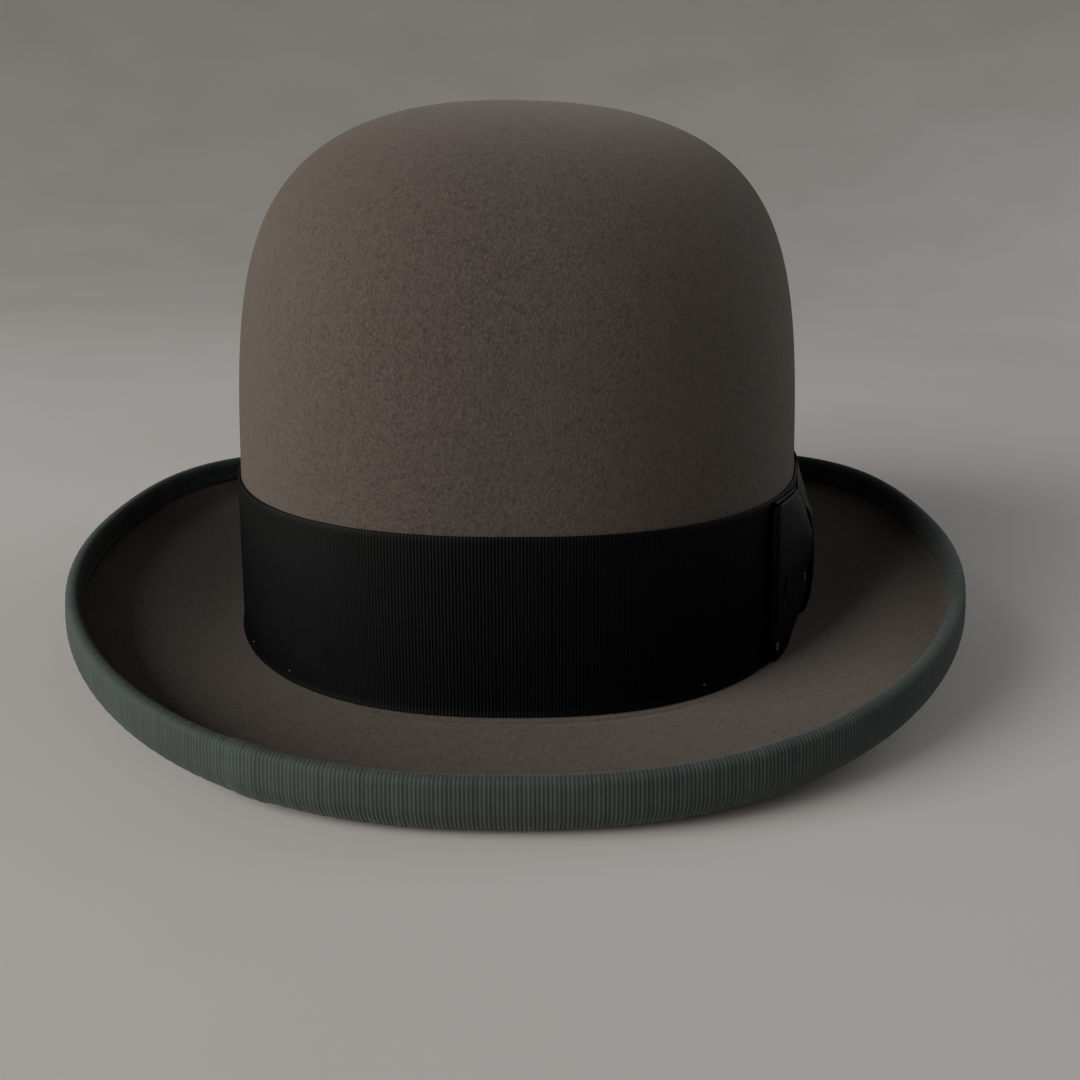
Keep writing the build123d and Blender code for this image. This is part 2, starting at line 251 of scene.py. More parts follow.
def facing(front, at, outward=1):
    """Normals of an open grid, turned to point outward (1) or inward (-1) at one place."""
    normal = surface_normals(front, wrap_cols=False)
    away = np.dot(normal[at][:2], front[at][:2])
    return normal if away * outward > 0 else -normal


def closed_tube(name, loop_rows, material, uv=None):
    """Rows form a closed section and columns go all round: a ring with no ends."""
    rows, cols = loop_rows.shape[:2]
    return make_piece(name, loop_rows, grid_faces(rows, cols, True, True), material, uv)


def sheet_parts(front, normal, thickness):
    """Points and faces of a closed sheet: a front grid, its back and thin edges."""
    rows, cols = front.shape[:2]
    back = front - normal * thickness
    points = np.concatenate([front.reshape(-1, 3), back.reshape(-1, 3)])
    grid = grid_faces(rows, cols, False, False)
    shift = rows * cols
    faces = list(grid) + [f[::-1] + shift for f in grid]
    index = np.arange(shift).reshape(rows, cols)
    rim = list(index[0, :]) + list(index[1:, -1]) + list(index[-1, -2::-1])
    rim += list(index[-2:0:-1, 0])
    for a, b in zip(rim, rim[1:] + rim[:1]):
        faces.append(np.array([b, a, a + shift, b + shift]))
    return points, faces


def slab(name, front, thickness, material, uv, normal):
    """A closed sheet from its front grid, in a piece of its own."""
    points, faces = sheet_parts(front, normal, thickness)
    both = None if uv is None else np.concatenate([uv.reshape(-1, 2)] * 2)
    return make_piece(name, points, faces, material, both)


def capped_faces(rows, cols):
    """Faces of a grid that goes all round, with a fan to a tip at each end."""
    faces = [list(f) for f in grid_faces(rows, cols, False, True)]
    count = rows * cols
    last = count - cols
    faces += [[count, i, (i + 1) % cols] for i in range(cols)]
    faces += [[count + 1, last + (i + 1) % cols, last + i] for i in range(cols)]
    return faces


# --- materials ---------------------------------------------------------------
class Paint:
    """Builds one node material: texture nodes in, Principled sockets out."""

    def __init__(self, name, color, roughness, **sockets):
        self.material = bpy.data.materials.new(name)
        self.material.use_nodes = True
        self.tree = self.material.node_tree
        self.shader = self.tree.nodes["Principled BSDF"]
        self.shader.inputs["Base Color"].default_value = (*color, 1)
        self.shader.inputs["Roughness"].default_value = roughness
        for key, value in sockets.items():
            self.shader.inputs[key.replace("_", " ")].default_value = value
        self.height = None

    def node(self, kind, **values):
        made = self.tree.nodes.new(kind)
        for key, value in values.items():
            if key in made.inputs:
                made.inputs[key].default_value = value
            else:
                setattr(made, key, value)
        return made

    def link(self, source, target):
        self.tree.links.new(source, target)

    def coords(self, source="Object", scale=(1, 1, 1)):
        if source == "cloth":
            output = self.node("ShaderNodeUVMap", uv_map="cloth").outputs["UV"]
        else:
            output = self.node("ShaderNodeTexCoord").outputs[source]
        mapping = self.node("ShaderNodeMapping")
        mapping.inputs["Scale"].default_value = scale
        self.link(output, mapping.inputs["Vector"])
        return mapping.outputs["Vector"]

    def noise(self, vector, scale, detail=3.0, rough=0.55, distortion=0.0):
        made = self.node("ShaderNodeTexNoise", Scale=scale, Detail=detail,
                         Roughness=rough, Distortion=distortion)
        self.link(vector, made.inputs["Vector"])
        return made.outputs["Fac"]

    def curve(self, value, low, high, to_low=0.0, to_high=1.0):
        made = self.node("ShaderNodeMapRange")
        for key, number in (("From Min", low), ("From Max", high),
                            ("To Min", to_low), ("To Max", to_high)):
            made.inputs[key].default_value = number
        self.link(value, made.inputs["Value"])
        return made.outputs["Result"]

    def math(self, operation, a, b):
        made = self.node("ShaderNodeMath", operation=operation)
        for socket, value in zip(made.inputs, (a, b)):
            if hasattr(value, "links"):
                self.link(value, socket)
            else:
                socket.default_value = value
        return made.outputs["Value"]

    def blend(self, amount, first, second):
        made = self.node("ShaderNodeMix", data_type="RGBA")
        self.link(amount, made.inputs["Factor"])
        for socket, color in zip((made.inputs[6], made.inputs[7]), (first, second)):
            if hasattr(color, "links"):
                self.link(color, socket)
            else:
                socket.default_value = (*color, 1)
        return made.outputs[2]

    def color(self, output):
        self.link(output, self.shader.inputs["Base Color"])

    def roughness(self, output):
        self.link(output, self.shader.inputs["Roughness"])

    def bump(self, height, distance, strength=1.0):
        made = self.node("ShaderNodeBump", Distance=distance, Strength=strength)
        self.link(height, made.inputs["Height"])
        if self.height is not None:
            self.link(self.height, made.inputs["Normal"])
        self.height = made.outputs["Normal"]
        self.link(self.height, self.shader.inputs["Normal"])


def felt_paint():
    """Grey-brown fur felt: mottled fibre, brushed nap and a soft velvety edge."""
    paint = Paint("fur_felt", (0.055, 0.046, 0.039), 0.92, Sheen_Weight=0.16,
                  Sheen_Roughness=0.55, Specular_IOR_Level=0.18)
    paint.shader.inputs["Sheen Tint"].default_value = (0.9, 0.82, 0.76, 1)
    place = paint.coords()
    cloud = paint.noise(place, 22.0, 3.0, 0.6)
    mottle = paint.noise(place, 900.0, 4.0, 0.65)
    fibre = paint.noise(paint.coords(scale=(1.0, 1.0, 0.7)), 2200.0, 3.0, 0.7, 0.4)
    tufts = paint.noise(place, 480.0, 2.0, 0.5)
    base = paint.blend(paint.curve(cloud, 0.3, 0.7), (0.040, 0.0335, 0.0282),
                       (0.050, 0.042, 0.0355))
    base = paint.blend(paint.curve(tufts, 0.40, 0.62, 0.0, 0.5), base,
                       (0.070, 0.059, 0.050))
    spotted = paint.blend(paint.curve(mottle, 0.36, 0.66, 0.0, 0.8), base,
                          (0.079, 0.0665, 0.0565))
    flecked = paint.blend(paint.curve(fibre, 0.45, 0.70, 0.0, 0.75), spotted,
                          (0.108, 0.092, 0.079))
    paint.color(flecked)
    paint.bump(mottle, 0.0004, 0.6)
    paint.bump(fibre, 0.0002, 0.8)
    return paint.material


def grosgrain_paint(name, dark, light, rough, rib, sheen):
    """Ribbed ribbon: the ribs are in the mesh, and this adds the threads on them."""
    paint = Paint(name, dark, rough, Sheen_Weight=sheen, Sheen_Roughness=0.35,
                  Specular_IOR_Level=0.12)
    along = paint.coords("cloth", (1000.0 / rib, 1000.0 / 0.22, 1.0))
    warp = paint.node("ShaderNodeTexWave", wave_type="BANDS", bands_direction="Y",
                      wave_profile="SIN", Scale=0.314, Distortion=0.6, Detail=1.0)
    warp.inputs["Detail Scale"].default_value = 0.5
    paint.link(along, warp.inputs["Vector"])
    place = paint.coords()
    cloud = paint.noise(place, 60.0, 3.0, 0.6)
    thread = paint.noise(paint.coords("cloth", (1000.0, 3000.0, 1.0)), 1.6, 3.0, 0.7)
    tone = paint.math("ADD", paint.curve(cloud, 0.3, 0.7, 0.0, 0.45),
                      paint.curve(thread, 0.3, 0.7, 0.0, 0.55))
    paint.color(paint.blend(tone, dark, light))
    paint.roughness(paint.curve(thread, 0.25, 0.75, rough - 0.08, rough + 0.1))
    paint.bump(warp.outputs["Fac"], 0.00003, 0.8)
    paint.bump(thread, 0.00005, 0.5)
    return paint.material


def leather_paint():
    """Brown hat leather, smooth with a fine grain and darker in its creases."""
    paint = Paint("sweat_leather", (0.24, 0.12, 0.055), 0.5, Specular_IOR_Level=0.45)
    place = paint.coords()
    cells = paint.node("ShaderNodeTexVoronoi", feature="DISTANCE_TO_EDGE", Scale=900.0)
    paint.link(place, cells.inputs["Vector"])
    grain = paint.curve(cells.outputs["Distance"], 0.0, 0.18)
    cloud = paint.noise(place, 30.0, 4.0, 0.6)
    pores = paint.noise(place, 700.0, 3.0, 0.6)
    base = paint.blend(paint.curve(cloud, 0.3, 0.7), (0.20, 0.098, 0.043),
                       (0.30, 0.155, 0.072))
    paint.color(paint.blend(paint.curve(grain, 0.0, 1.0, 0.35, 0.0), base,
                            (0.11, 0.05, 0.022)))
    paint.roughness(paint.curve(pores, 0.3, 0.7, 0.4, 0.6))
    paint.bump(grain, 0.00008, 0.6)
    paint.bump(pores, 0.00005, 0.4)
    return paint.material


def satin_paint():
    """Champagne lining satin: a smooth weave with long floating threads."""
    paint = Paint("lining_satin", (0.42, 0.36, 0.28), 0.34, Sheen_Weight=0.25,
                  Sheen_Roughness=0.3, Specular_IOR_Level=0.55, Anisotropic=0.5)
    floats = paint.noise(paint.coords(scale=(2600.0, 2600.0, 240.0)), 1.0, 2.0, 0.6)
    cloud = paint.noise(paint.coords(), 25.0, 3.0, 0.6)
    paint.color(paint.blend(paint.curve(cloud, 0.3, 0.7), (0.37, 0.315, 0.24),
                            (0.47, 0.41, 0.325)))
    paint.roughness(paint.curve(floats, 0.3, 0.7, 0.27, 0.45))
    paint.bump(floats, 0.00003, 0.5)
    return paint.material


def film_paint():
    """Clear flexible film with faint handling marks."""
    paint = Paint("clear_film", (0.93, 0.93, 0.90), 0.06, Alpha=0.16, IOR=1.46)
    marks = paint.noise(paint.coords(scale=(1.0, 5.0, 1.0)), 90.0, 4.0, 0.7)
    paint.roughness(paint.curve(marks, 0.4, 0.75, 0.04, 0.16))
    return paint.material


def thread_paint(name, color):
    """Twisted sewing thread."""
    paint = Paint(name, color, 0.6, Sheen_Weight=0.3, Sheen_Roughness=0.4)
    twist = paint.noise(paint.coords(), 2400.0, 2.0, 0.6)
    pale = tuple(min(1.0, c * 1.5 + 0.01) for c in color)
    paint.color(paint.blend(paint.curve(twist, 0.3, 0.7), color, pale))
    paint.bump(twist, 0.0001, 0.8)
    return paint.material


def card_paint(name, color):
    """Woven tape or covered bead: matt with a fine cross weave."""
    paint = Paint(name, color, 0.8, Sheen_Weight=0.1)
    weave = paint.noise(paint.coords(scale=(1.0, 1.0, 2.0)), 1300.0, 2.0, 0.6)
    pale = tuple(c * 1.35 for c in color)
    paint.color(paint.blend(paint.curve(weave, 0.3, 0.7), color, pale))
    paint.bump(weave, 0.0001, 0.7)
    return paint.material


felt_stuff = felt_paint()
black_stuff = grosgrain_paint("black_grosgrain", (0.0018, 0.0018, 0.0021),
                              (0.0042, 0.0042, 0.0048), 0.5, BAND_RIB, 0.0)
edge_stuff = grosgrain_paint("binding_grosgrain", (0.038, 0.049, 0.046),
                             (0.064, 0.080, 0.075), 0.65, BINDING_RIB, 0.15)
leather_stuff = leather_paint()
satin_stuff = satin_paint()
film_stuff = film_paint()
black_thread = thread_paint("black_thread", (0.055, 0.055, 0.058))
edge_thread = thread_paint("binding_thread", (0.05, 0.062, 0.056))
tan_thread = thread_paint("tan_thread", (0.42, 0.31, 0.19))
reed_stuff = card_paint("reed_plastic", (0.16, 0.10, 0.06))
tape_stuff = card_paint("seam_tape", (0.22, 0.17, 0.12))
small_bow_stuff = grosgrain_paint("small_bow_ribbon", (0.02, 0.019, 0.018),
                                  (0.034, 0.032, 0.031), 0.55, 0.7, 0.15)


# --- felt body ---------------------------------------------------------------
def felt_top_rows(phi):
    """Upper and outer surface of the felt, from the crown's tip to the curl's edge."""
    rows = []
    for turn in np.concatenate([np.linspace(89.2, 20, 46), np.linspace(18.5, 5, 12)]):
        rows.append(on_wall(phi, dome_height(turn), 0.0))
    wall_end = BREAK_Z + FELT / 2 + BREAK_FILLET
    for z in np.linspace(dome_height(5.0) - 4, wall_end, 16):
        rows.append(on_wall(phi, z, 0.0))
    for turn in np.radians(np.linspace(12, 84, 7)):
        z = wall_end - BREAK_FILLET * math.sin(turn)
        rows.append(on_wall(phi, z, BREAK_FILLET * (1 - math.cos(turn))))
    # the brim runs from its root at the break out to the curl, on a Hermite curve
    root = on_wall(phi, BREAK_Z + FELT / 2, BREAK_FILLET * 1.05)
    roll_start = -82.0  # degrees round the curl's section
    start = on_curl(phi, FELT_INNER, roll_start)
    span = np.linalg.norm(start[..., :2] - root[..., :2], axis=-1)
    slope_out = math.tan(math.radians(90 + roll_start))
    rise = start[..., 2] - root[..., 2]
    slope_in = 0.55 * rise / span
    front = np.clip((-np.sin(phi) - 0.86) / 0.1, 0, 1)  # 1 near the hat's front
    for u in np.linspace(0, 1, 36) ** 1.4:
        place = root * (1 - u) + start * u
        h10, h01, h11 = u**3 - 2 * u**2 + u, 3 * u**2 - 2 * u**3, u**3 - u**2
        z = root[..., 2] + h01 * rise + span * (h10 * slope_in + h11 * slope_out)
        crease = 0.4 * front * math.exp(-((u * 40 - 1.9) / 0.45) ** 2)
        place[..., 2] = z - crease
        rows.append(place)
    for turn in np.linspace(roll_start + 10, RIM_TURN, 11):
        rows.append(on_curl(phi, FELT_INNER, turn))
    for rise in np.linspace(0, RIM_RISE, 5)[1:]:
        rows.append(on_rim(phi, FELT_INNER, rise))
    return np.array(rows)


def make_felt():
    """Crown and brim as one shell: the upper surface, the rim's edge and the underside."""
    cols = 360
    phi = np.linspace(0, 2 * np.pi, cols, endpoint=False)
    top = felt_top_rows(phi)
    normal = surface_normals(top)
    if normal[3, 0, 2] < 0:
        normal = -normal
    under = top - normal * FELT
    middle = (top[-1] + under[-1]) / 2
    outward = (top[-1] - under[-1]) / 2
    forward = top[-1] - top[-2]
    forward /= np.linalg.norm(forward, axis=-1, keepdims=True)
    edge = [middle + outward * math.cos(a) + forward * (FELT / 2) * math.sin(a)
            for a in np.linspace(0, math.pi, 6)[1:-1]]
    rows = np.concatenate([top, np.array(edge), under[::-1]])
    tips = np.array([[0, 0, BREAK_Z + CROWN_HEIGHT],
                     [0, 0, BREAK_Z + CROWN_HEIGHT - FELT]])
    points = np.concatenate([rows.reshape(-1, 3), tips])
    return make_piece("felt_hat_body", settle(points), capped_faces(len(rows), cols),
                      felt_stuff)


put(make_felt(), "felt_body")


# --- ribs --------------------------------------------------------------------
RIB_STEPS = ((0.0, 0.0), (0.3, 1.0), (0.7, 1.0))  # place across a rib, and height


def rib_columns(half_width, half_length, rib, first=0.0, last=360.0):
    """Angles of the columns of a ribbed ribbon, their lengths along, and rib heights."""
    _, run = even_angles(half_width, half_length, 1, first, last)
    count = int(round(run[-1] / rib))
    angles, lengths = even_angles(half_width, half_length, count * 50, first, last)
    wanted, height = [], []
    for rib_index in range(count):
        for place, high in RIB_STEPS:
            wanted.append((rib_index + place) * run[-1] / count)
            height.append(high)
    wanted = np.array(wanted)
    return np.interp(wanted, lengths, angles), wanted, np.array(height)


# --- band --------------------------------------------------------------------
def make_band():
    """The wide ribbon, a closed ring with its ribs, loose along its lower edge."""
    phi, along, rib = rib_columns(CROWN_W, CROWN_L, BAND_RIB)
    out_rows, uv_rows = [], []
    edge = 0.35  # rounding of the woven edges
    heights = np.concatenate([[0.0, edge * 0.4, edge, 1.0, 1.8, 3.0, 5.0],
                              np.linspace(8, BAND_HEIGHT - 3, 8),
                              [BAND_HEIGHT - 1.6, BAND_HEIGHT - edge,
                               BAND_HEIGHT - edge * 0.4, BAND_HEIGHT]])
    scallop = 0.14 * rib
    wave = 0.18 * np.sin(along / 37.0) + 0.12 * np.sin(along / 11.3 + 1.0)
    for h in heights:
        near_edge = min(h, BAND_HEIGHT - h)
        ribbed = rib * BAND_RIB_HEIGHT * min(1.0, 0.6 + near_edge)
        round_off = 0.18 * max(0.0, 1 - near_edge / edge)
        end = -1 if h < BAND_HEIGHT / 2 else 1
        z = BAND_Z + h + end * scallop * max(0.0, 1 - near_edge / edge)
        loose = 0.12 + max(0.0, 1 - h / 5.0) * (0.12 + 0.25 * np.clip(wave, 0, 1))
        out = loose + flare(z) + BAND_THICK + ribbed - round_off
        out_rows.append(on_wall(phi, z, out))
        uv_rows.append(np.stack([along * MM, np.full_like(along, h * MM)], -1))
    for h in (BAND_HEIGHT, BAND_HEIGHT / 2, 4.0, 1.0, 0.0):
        z = BAND_Z + h
        loose = 0.1 + max(0.0, 1 - h / 5.0) * 0.1
        out_rows.append(on_wall(phi, z, loose + flare(z)))
        uv_rows.append(np.stack([along * MM, np.full_like(along, h * MM)], -1))
    points = settle(np.array(out_rows))
    band = closed_tube("band_grosgrain", points, black_stuff, np.array(uv_rows))
    put(band, "band_ribbon")


make_band()


# --- binding -----------------------------------------------------------------
def make_binding():
    """Ribbon folded over the rim, with its ends lapped near the front."""
    phi, along, rib = rib_columns(BRIM_W, BRIM_L, BINDING_RIB)
    outer, inner = CURL_RADIUS - 0.1, FELT_INNER - 0.1 - BINDING
    middle, half = (outer + inner) / 2, (outer - inner) / 2
    first, last = -76.0, -12.0  # degrees, edges of the outer and inner legs
    lap_at = np.interp(math.radians(248.0), phi, along)
    lap = 0.3 * np.exp(-(((along - lap_at) / 4.5) ** 4))
    rib = rib + lap / BINDING_RIB_HEIGHT + 0.25 * np.sin(along * 1.7) * np.sin(along * 0.37)
    raised = BINDING_RIB_HEIGHT * (rib - 0.7)
    rows = [on_curl(phi, outer - 0.35, first - 1.0)]
    for turn in np.linspace(first, RIM_TURN, 11):
        rows.append(on_curl(phi, outer + raised, turn))
    for rise in np.linspace(0, RIM_RISE, 5)[1:]:
        rows.append(on_rim(phi, outer + raised, rise))
    for bend in np.radians(np.linspace(0, 180, 9))[1:-1]:
        reach = half + raised
        rows.append(on_rim(phi, middle + reach * math.cos(bend),
                           RIM_RISE + reach * math.sin(bend)))
    inside = inner - BINDING_RIB_HEIGHT * rib
    for rise in np.linspace(RIM_RISE, 0, 5):
        rows.append(on_rim(phi, inside, rise))
    rows.append(on_curl(phi, inside, last / 2))
    rows.append(on_curl(phi, inside, last))
    gap = 0.06  # from the felt to the ribbon's back
    rows.append(on_curl(phi, FELT_INNER - gap, last - 1.0))
    rows.append(on_rim(phi, FELT_INNER - gap, RIM_RISE))
    rows.append(on_rim(phi, (FELT_INNER + FELT_OUTER) / 2, RIM_RISE + FELT / 2 + 0.1))
    rows.append(on_rim(phi, FELT_OUTER + gap, RIM_RISE))
    rows.append(on_rim(phi, FELT_OUTER + gap, 0.0))
    rows.append(on_curl(phi, FELT_OUTER + gap, first / 2))
    rows.append(on_curl(phi, FELT_OUTER + gap, first - 1.0))
    steps = [np.linalg.norm(b[0] - a[0]) for a, b in zip(rows, rows[1:])]
    across = np.concatenate([[0], np.cumsum(steps)])
    uv_rows = [np.stack([along * MM, np.full_like(along, a * MM)], -1) for a in across]
    points = settle(np.array(rows))
    binding = closed_tube("binding_grosgrain", points, edge_stuff, np.array(uv_rows))
    put(binding, "brim_binding")


make_binding()


# --- bow ---------------------------------------------------------------------
BOW_MIDDLE = -24.0  # degrees round the crown from its left side, forward is negative
WAIST_Z = BAND_Z + 19.2  # middle of the part that the knot pinches
WAIST_HALF = 16.0
LOOP_REACH = 35.0  # from the knot's middle to a loop's end fold
LOOP_THICK = 0.42


def bow_place(arc, z, out):
    """Point over the band: arc is millimetres along it from the bow's middle."""
    per_degree = oval_radius(math.radians(BOW_MIDDLE), CROWN_W, CROWN_L) * math.pi / 180
    phi = np.radians(BOW_MIDDLE + arc / per_degree)
    return on_wall(phi, z, out + BAND_THICK + 0.3 + flare(z))


def loop_spread(arc):
    """How far a loop has opened out from its pinched middle, 0 to 1."""
    return 1 - math.exp(-max(0.0, arc - 3.0) / 6.0)


def loop_section(arc, across, side):
    """Heights, outer surface and inner surface of a loop, across its ribbon."""
    full = BAND_HEIGHT / 2 - 0.4
    spread = loop_spread(arc)
    half = WAIST_HALF + (full - WAIST_HALF) * spread
    centre = WAIST_Z + (BAND_Z + BAND_HEIGHT / 2 - WAIST_Z) * spread
    z = centre + across * half
    # a puffed upper and lower lobe with a crease between, pleated near the knot
    pinch = math.exp(-arc / 7.5)
    upper = np.exp(-((across - 0.24) / 0.5) ** 2)
    lower = np.exp(-((across + 0.52) / 0.4) ** 2)
    swell = math.exp(-((arc - 8.0) / 10.5) ** 2)
    crease = math.exp(-arc / 6.5) * np.exp(-((across + 0.2) / 0.11) ** 2)
    top = 2.45 + 0.35 * arc / LOOP_REACH + 0.2 * across
    top = top + swell * (2.7 * upper + 1.4 * lower)
    top = top + pinch * 0.35 * np.cos(across * 15 + 0.6) - 2.2 * crease
    # both long edges lie lower, and the front loop has a dent before its end fold
    edge = np.clip((np.abs(across) - 0.5) / 0.5, 0, 1) ** 2
    top = top - edge * (0.5 + 2.7 * math.exp(-((arc / 17.0) ** 2)))
    slit = np.exp(-((z - WAIST_Z - 0.5) / 3.4) ** 4)
    slit = slit * math.exp(-((arc - LOOP_REACH + 4.6) / 0.75) ** 2)
    top = top + min(0, side) * 1.3 * slit
    return z, half, top, 0.35 + 0.25 * pinch


def make_loop(name, side, node):
    """One loop: a ribbon out from the knot, round its end fold and back beneath."""
    per_rib, ribs, fold_steps = len(RIB_STEPS), 40, 14
    count = ribs * per_rib
    across = np.linspace(-1, 1, 45)
    path = [(LOOP_REACH * (k + 1) / count, 1, 0.0) for k in range(count)]
    path = [p for p in path if p[0] > 2.0]
    path += [(LOOP_REACH, 0, (k + 0.5) / fold_steps) for k in range(fold_steps)]
    path += [(arc, -1, 1.0) for arc, _, _ in reversed(path[:len(path) - fold_steps])]
    rows, uv_rows = [], []
    for step, (arc, layer, bend) in enumerate(path):
        z, half, top, bottom = loop_section(arc, across, side)
        share = arc / LOOP_REACH
        rib = 0.11 * RIB_STEPS[step % per_rib][1]
        along = arc
        if layer == 1:
            out = top + rib
        elif layer == -1:
            out = bottom - rib * 0.4
        else:
            turn = bend * math.pi
            radius = (top - bottom) / 2
            out = (top + bottom) / 2 + (radius + rib) * math.cos(turn)
            along = arc + (radius * 0.95 + rib) * math.sin(turn)
        along = along + 0.5 * np.sin(across * 2.2 + 0.4) * share**3
        along = along - 1.3 * np.clip((np.abs(across) - 0.82) / 0.18, 0, 1) ** 2 * share**6
        rows.append(bow_place(side * along, z, out))
        uv_rows.append(np.stack([0 * z + step * 0.27 * MM, across * half * MM], -1))
    front = settle(np.array(rows))
    loop = slab(name, front, LOOP_THICK, black_stuff, np.array(uv_rows),
                facing(front, (5, 22)))
    put(loop, node)


def make_knot():
    """Narrow ribbon pulled round the middle of the bow, with soft pleats."""
    half_arc, half_height = 4.4, WAIST_HALF + 1.0
    around = np.linspace(-1, 1, 49)
    rows, uv_rows = [], []
    steps = 111
    for step in range(steps):
        turn = math.pi * (step + 0.5) / steps
        z = WAIST_Z - half_height * math.cos(turn)
        rise = math.sin(turn) ** 0.36
        waist = 1 - 0.16 * rise
        pleat = 0.34 * np.cos(around * 7.8 + 0.5) * rise
        shoulder = (1 - np.abs(around) ** 4) ** 0.5
        rib = RIB_STEPS[step % len(RIB_STEPS)][1] * 0.1
        out = 0.2 + (5.5 * (0.7 + 0.3 * shoulder) + pleat + rib) * rise
        rows.append(bow_place(around * half_arc * waist, z + 0 * around, out))
        uv_rows.append(np.stack([around * half_arc * MM,
                                 np.full_like(around, step * 0.42 * MM)], -1))
    front = settle(np.array(rows))
    knot = slab("bow_knot_wrap", front, 0.4, black_stuff, np.array(uv_rows),
                facing(front, (steps // 2, 24)))
    put(knot, "bow_knot")


make_loop("bow_loop_front", -1, "bow_front_loop")
make_loop("bow_loop_rear", 1, "bow_rear_loop")
make_knot()


# --- threads -----------------------------------------------------------------
def make_threads(name, ends, radius, material):
    """Short stitches: each bends down at both ends into what it holds."""
    points, faces = [], []
    ring, stations = 6, 7
    for start, finish, out in ends:
        start, finish, out = (np.array(v, dtype=float) for v in (start, finish, out))
        along = finish - start
        side = np.cross(out, along)
        side /= np.linalg.norm(side) + 1e-9
        base = len(points)
        for k in range(stations):
            u = k / (stations - 1)
            middle = start + along * u + out * (radius * 1.3 * math.sin(math.pi * u) ** 0.6)
            thick = radius * (0.55 + 0.45 * math.sin(math.pi * u))
            for j in range(ring):
                a = 2 * math.pi * j / ring
                points.append(middle + thick * (math.cos(a) * side + math.sin(a) * out))
        for k in range(stations - 1):
            for j in range(ring):
                a, b = base + k * ring + j, base + k * ring + (j + 1) % ring
                faces.append([a, b, b + ring, a + ring])
        faces.append([base + j for j in reversed(range(ring))])
        faces.append([base + (stations - 1) * ring + j for j in range(ring)])
    return make_piece(name, settle(np.array(points)), faces, material)


def wall_stitch(degrees, z, out, length, lean=0.0):
    """Ends and outward direction of a stitch lying on the crown's wall."""
    phi = math.radians(degrees)
    nx, ny = oval_normal(phi, CROWN_W, CROWN_L)
    middle = on_wall(phi, z, out)
    along = np.array([-ny * math.cos(lean), nx * math.cos(lean), math.sin(lean)])
    return middle - along * length / 2, middle + along * length / 2, (nx, ny, 0.0)


TACK_Z = BAND_Z + 2.6
tack_out = BAND_THICK + 0.3 + flare(TACK_Z)
tacks = [wall_stitch(degrees, TACK_Z, tack_out, 0.9, lean)
         for degrees, lean in ((-139, 0.4), (-125.5, -0.3), (-62, 0.2), (-163, 0.1),
                               (150, 0.3), (110, -0.2), (70, 0.2), (30, 0.0))]
put(make_threads("band_thread_tacks", tacks, 0.22, black_thread), "band_tacks")


def make_rings(name, places, radius, thick, material):
    """Small knotted rings of thread, each standing on a place with a direction."""
    points, faces = [], []
    around, ring = 16, 6
    for middle, out in places:
        out = np.array(out, dtype=float)
        up = np.array([0.0, 0.0, 1.0])
        side = np.cross(up, out)
        base = len(points)
        for k in range(around):
            a = 2 * math.pi * k / around
            spoke = math.cos(a) * side + 1.15 * math.sin(a) * up
            for j in range(ring):
                b = 2 * math.pi * j / ring
                wobble = 0.18 * thick * math.sin(3 * a)
                points.append(np.array(middle) + spoke * (radius + thick * math.cos(b))
                              + out * (thick * math.sin(b) + wobble))
        for k in range(around):
            for j in range(ring):
                a, b = base + k * ring + j, base + k * ring + (j + 1) % ring
                c = base + (k + 1) % around * ring + (j + 1) % ring
                d = base + (k + 1) % around * ring + j
                faces.append([a, b, c, d])
    return make_piece(name, settle(np.array(points)), faces, material)


def bow_ring(side, arc, share):
    """Where a ring lies on a loop, and its way out: share runs from -1 to 1 across it."""
    z, _, top, _ = loop_section(arc, share, side)
    middle = bow_place(side * arc, z, top + 0.25)
    return middle, bow_place(side * arc, z, top + 1.25) - middle


bow_rings = [bow_ring(side, arc, share) for side in (-1, 1)
             for arc, share in ((13.5, -0.2), (LOOP_REACH - 0.6, -0.8))]
put(make_rings("bow_thread_tacks", bow_rings, 0.8, 0.17, black_thread), "bow_tacks")


# --- sweatband ---------------------------------------------------------------
LEATHER = 0.9  # thickness
SWEAT_Z, SWEAT_TOP = sweat_low[2], sweat_high[2]


def sweat_inset(z):
    """How far the leather's outer face lies in from the crown's outside."""
    share = (z - SWEAT_Z) / (SWEAT_TOP - SWEAT_Z)
    return 4.15 - 0.85 * share


def make_sweatband():
    """Leather strip inside the crown, open at its butt joint at the rear."""
    cols = 480
    gap = 0.22  # half of the butt joint at the rear, in degrees
    phi = np.radians(np.linspace(90 + gap, 450 - gap, cols))
    ripple = 0.18 * np.sin(phi * 7 + 0.4) + 0.12 * np.sin(phi * 13)
    rows, uv_rows = [], []
    for h in np.concatenate([[0.0, 0.4, 1.0, 2.0, 3.0, 4.2], np.linspace(7, 44, 10),
                             [46.0, 47.3, SWEAT_TOP - SWEAT_Z]]):
        z = SWEAT_Z + h
        roll = 0.45 * math.exp(-((h - 1.0) / 1.1) ** 2)
        groove = 0.28 * math.exp(-((h - 3.0) / 0.5) ** 2)
        thin = 0.35 * max(0.0, (h - 44) / 4)
        free = ripple * max(0.0, h / 48) ** 1.5
        out = -(sweat_inset(z) + LEATHER) - roll + groove + thin - np.abs(free)
        rows.append(on_wall(phi, z, out))
        uv_rows.append(np.stack([phi * 0.09, 0 * phi + h * MM], -1))
    front = settle(np.array(rows))
    leather = slab("sweatband_leather", front, LEATHER * 0.85, leather_stuff,
                   np.array(uv_rows), facing(front, (8, 10), outward=-1))
    put(leather, "sweatband")


